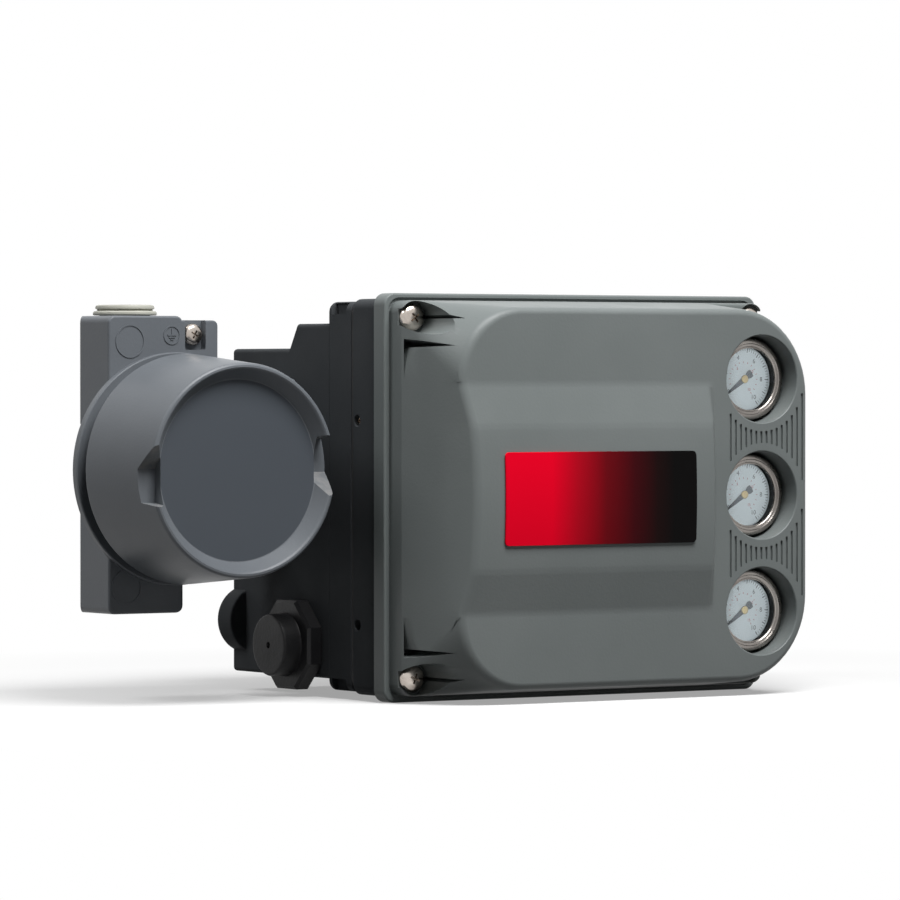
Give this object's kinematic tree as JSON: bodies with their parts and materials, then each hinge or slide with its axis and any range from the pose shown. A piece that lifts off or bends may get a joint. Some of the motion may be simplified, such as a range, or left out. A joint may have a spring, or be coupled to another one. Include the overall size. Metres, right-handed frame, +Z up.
{
  "type": "valve positioner",
  "caption": "Valve positioner: cast housing, moulded front cover with pressure gauges, and a side terminal box with a round screw-on cap.",
  "frame": {"origin": "on the rear mounting face, in line with the middle of the front cover", "axes": "-Y out of the front cover, +X towards the gauges' side, +Z up, the terminal box at -X"},
  "size_m": [0.2989, 0.1643, 0.165],
  "materials": {
    "cast_grey_paint": "satin textured enamel",
    "cover_grey": "satin enamel",
    "box_grey_paint": "satin enamel",
    "black_plastic": "matt",
    "black_case_paint": "satin",
    "seal_rubber": "matt",
    "nickel_plate": "bright plated",
    "zinc_steel": "zinc plated",
    "polished_steel": "polished",
    "machined_aluminium": "machined",
    "dial_white": "matt print",
    "needle_black": "matt",
    "clear_lens": "clear, slightly domed",
    "cream_plastic": "semi-matt",
    "white_plastic": "semi-matt",
    "board_green": "solder mask",
    "plate_red": "printed film"
  },
  "bodies": {
    "positioner": {"base_gasket": "seal_rubber", "base_screw_1": "zinc_steel", "base_screw_2": "zinc_steel", "base_screw_3": "zinc_steel", "box_screw": "nickel_plate", "box_seal": "seal_rubber", "cap_o_ring": "seal_rubber", "circuit_board": "board_green", "circuit_screw_1": "nickel_plate", "circuit_screw_2": "nickel_plate", "conduit_plug_bottom": "zinc_steel", "conduit_plug_top": "cream_plastic", "cover_seal": "seal_rubber", "feedback_sensor": "black_plastic", "front_cover": "cover_grey", "gauge_bezel_1": "polished_steel", "gauge_bezel_2": "polished_steel", "gauge_bezel_3": "polished_steel", "gauge_case_1": "black_case_paint", "gauge_case_2": "black_case_paint", "gauge_case_3": "black_case_paint", "gauge_dial_1": "dial_white", "gauge_dial_2": "dial_white", "gauge_dial_3": "dial_white", "gauge_lens_1": "clear_lens", "gauge_lens_2": "clear_lens", "gauge_lens_3": "clear_lens", "ground_screw": "nickel_plate", "housing": "cast_grey_paint", "inner_ground_screw": "nickel_plate", "ip_converter": "machined_aluminium", "ip_shroud": "black_plastic", "loop_screw_1": "nickel_plate", "loop_screw_2": "nickel_plate", "loop_screw_3": "nickel_plate", "loop_screw_4": "nickel_plate", "module_base": "cast_grey_paint", "name_plate": "plate_red", "pneumatic_relay": "machined_aluminium", "side_screw": "nickel_plate", "terminal_block": "black_plastic", "terminal_board": "board_green", "terminal_box": "box_grey_paint", "vent_plug": "black_plastic"},
    "cap": {"terminal_cap": "box_grey_paint"},
    "needle_1": {"gauge_needle_1": "needle_black"},
    "needle_2": {"gauge_needle_2": "needle_black"},
    "needle_3": {"gauge_needle_3": "needle_black"},
    "relay_disc": {"relay_adjust_disc": "white_plastic"},
    "screw_1": {"cover_screw_1": "nickel_plate"},
    "screw_2": {"cover_screw_2": "nickel_plate"},
    "screw_3": {"cover_screw_3": "nickel_plate"},
    "screw_4": {"cover_screw_4": "nickel_plate"}
  },
  "joints": [
    {"name": "cap_turn", "type": "hinge", "parent": "positioner", "child": "cap", "pos_m": [-0.15275, -0.063, 0.0115], "axis": [0, -1, 0], "continuous": true},
    {"name": "needle_1_swing", "type": "hinge", "parent": "positioner", "child": "needle_1", "pos_m": [0.06795, -0.1456, 0.04785], "axis": [0, 1, 0], "range_deg": [0, 270], "stiffness_Nm_per_rad": 0.0005},
    {"name": "needle_2_swing", "type": "hinge", "parent": "positioner", "child": "needle_2", "pos_m": [0.06795, -0.1456, 0], "axis": [0, 1, 0], "range_deg": [0, 270], "stiffness_Nm_per_rad": 0.0005},
    {"name": "needle_3_swing", "type": "hinge", "parent": "positioner", "child": "needle_3", "pos_m": [0.06795, -0.1456, -0.04785], "axis": [0, 1, 0], "range_deg": [0, 270], "stiffness_Nm_per_rad": 0.0005},
    {"name": "relay_disc_turn", "type": "hinge", "parent": "positioner", "child": "relay_disc", "pos_m": [0.012, -0.1427, -0.036], "axis": [0, 1, 0], "range_deg": [0, 90]},
    {"name": "cover_screw_1_turn", "type": "hinge", "parent": "positioner", "child": "screw_1", "pos_m": [-0.08425, -0.1256, -0.0725], "axis": [0, -1, 0], "continuous": true},
    {"name": "cover_screw_2_turn", "type": "hinge", "parent": "positioner", "child": "screw_2", "pos_m": [-0.08425, -0.1256, 0.0725], "axis": [0, -1, 0], "continuous": true},
    {"name": "cover_screw_3_turn", "type": "hinge", "parent": "positioner", "child": "screw_3", "pos_m": [0.08425, -0.1256, -0.0725], "axis": [0, -1, 0], "continuous": true},
    {"name": "cover_screw_4_turn", "type": "hinge", "parent": "positioner", "child": "screw_4", "pos_m": [0.08425, -0.1256, 0.0725], "axis": [0, -1, 0], "continuous": true}
  ]
}
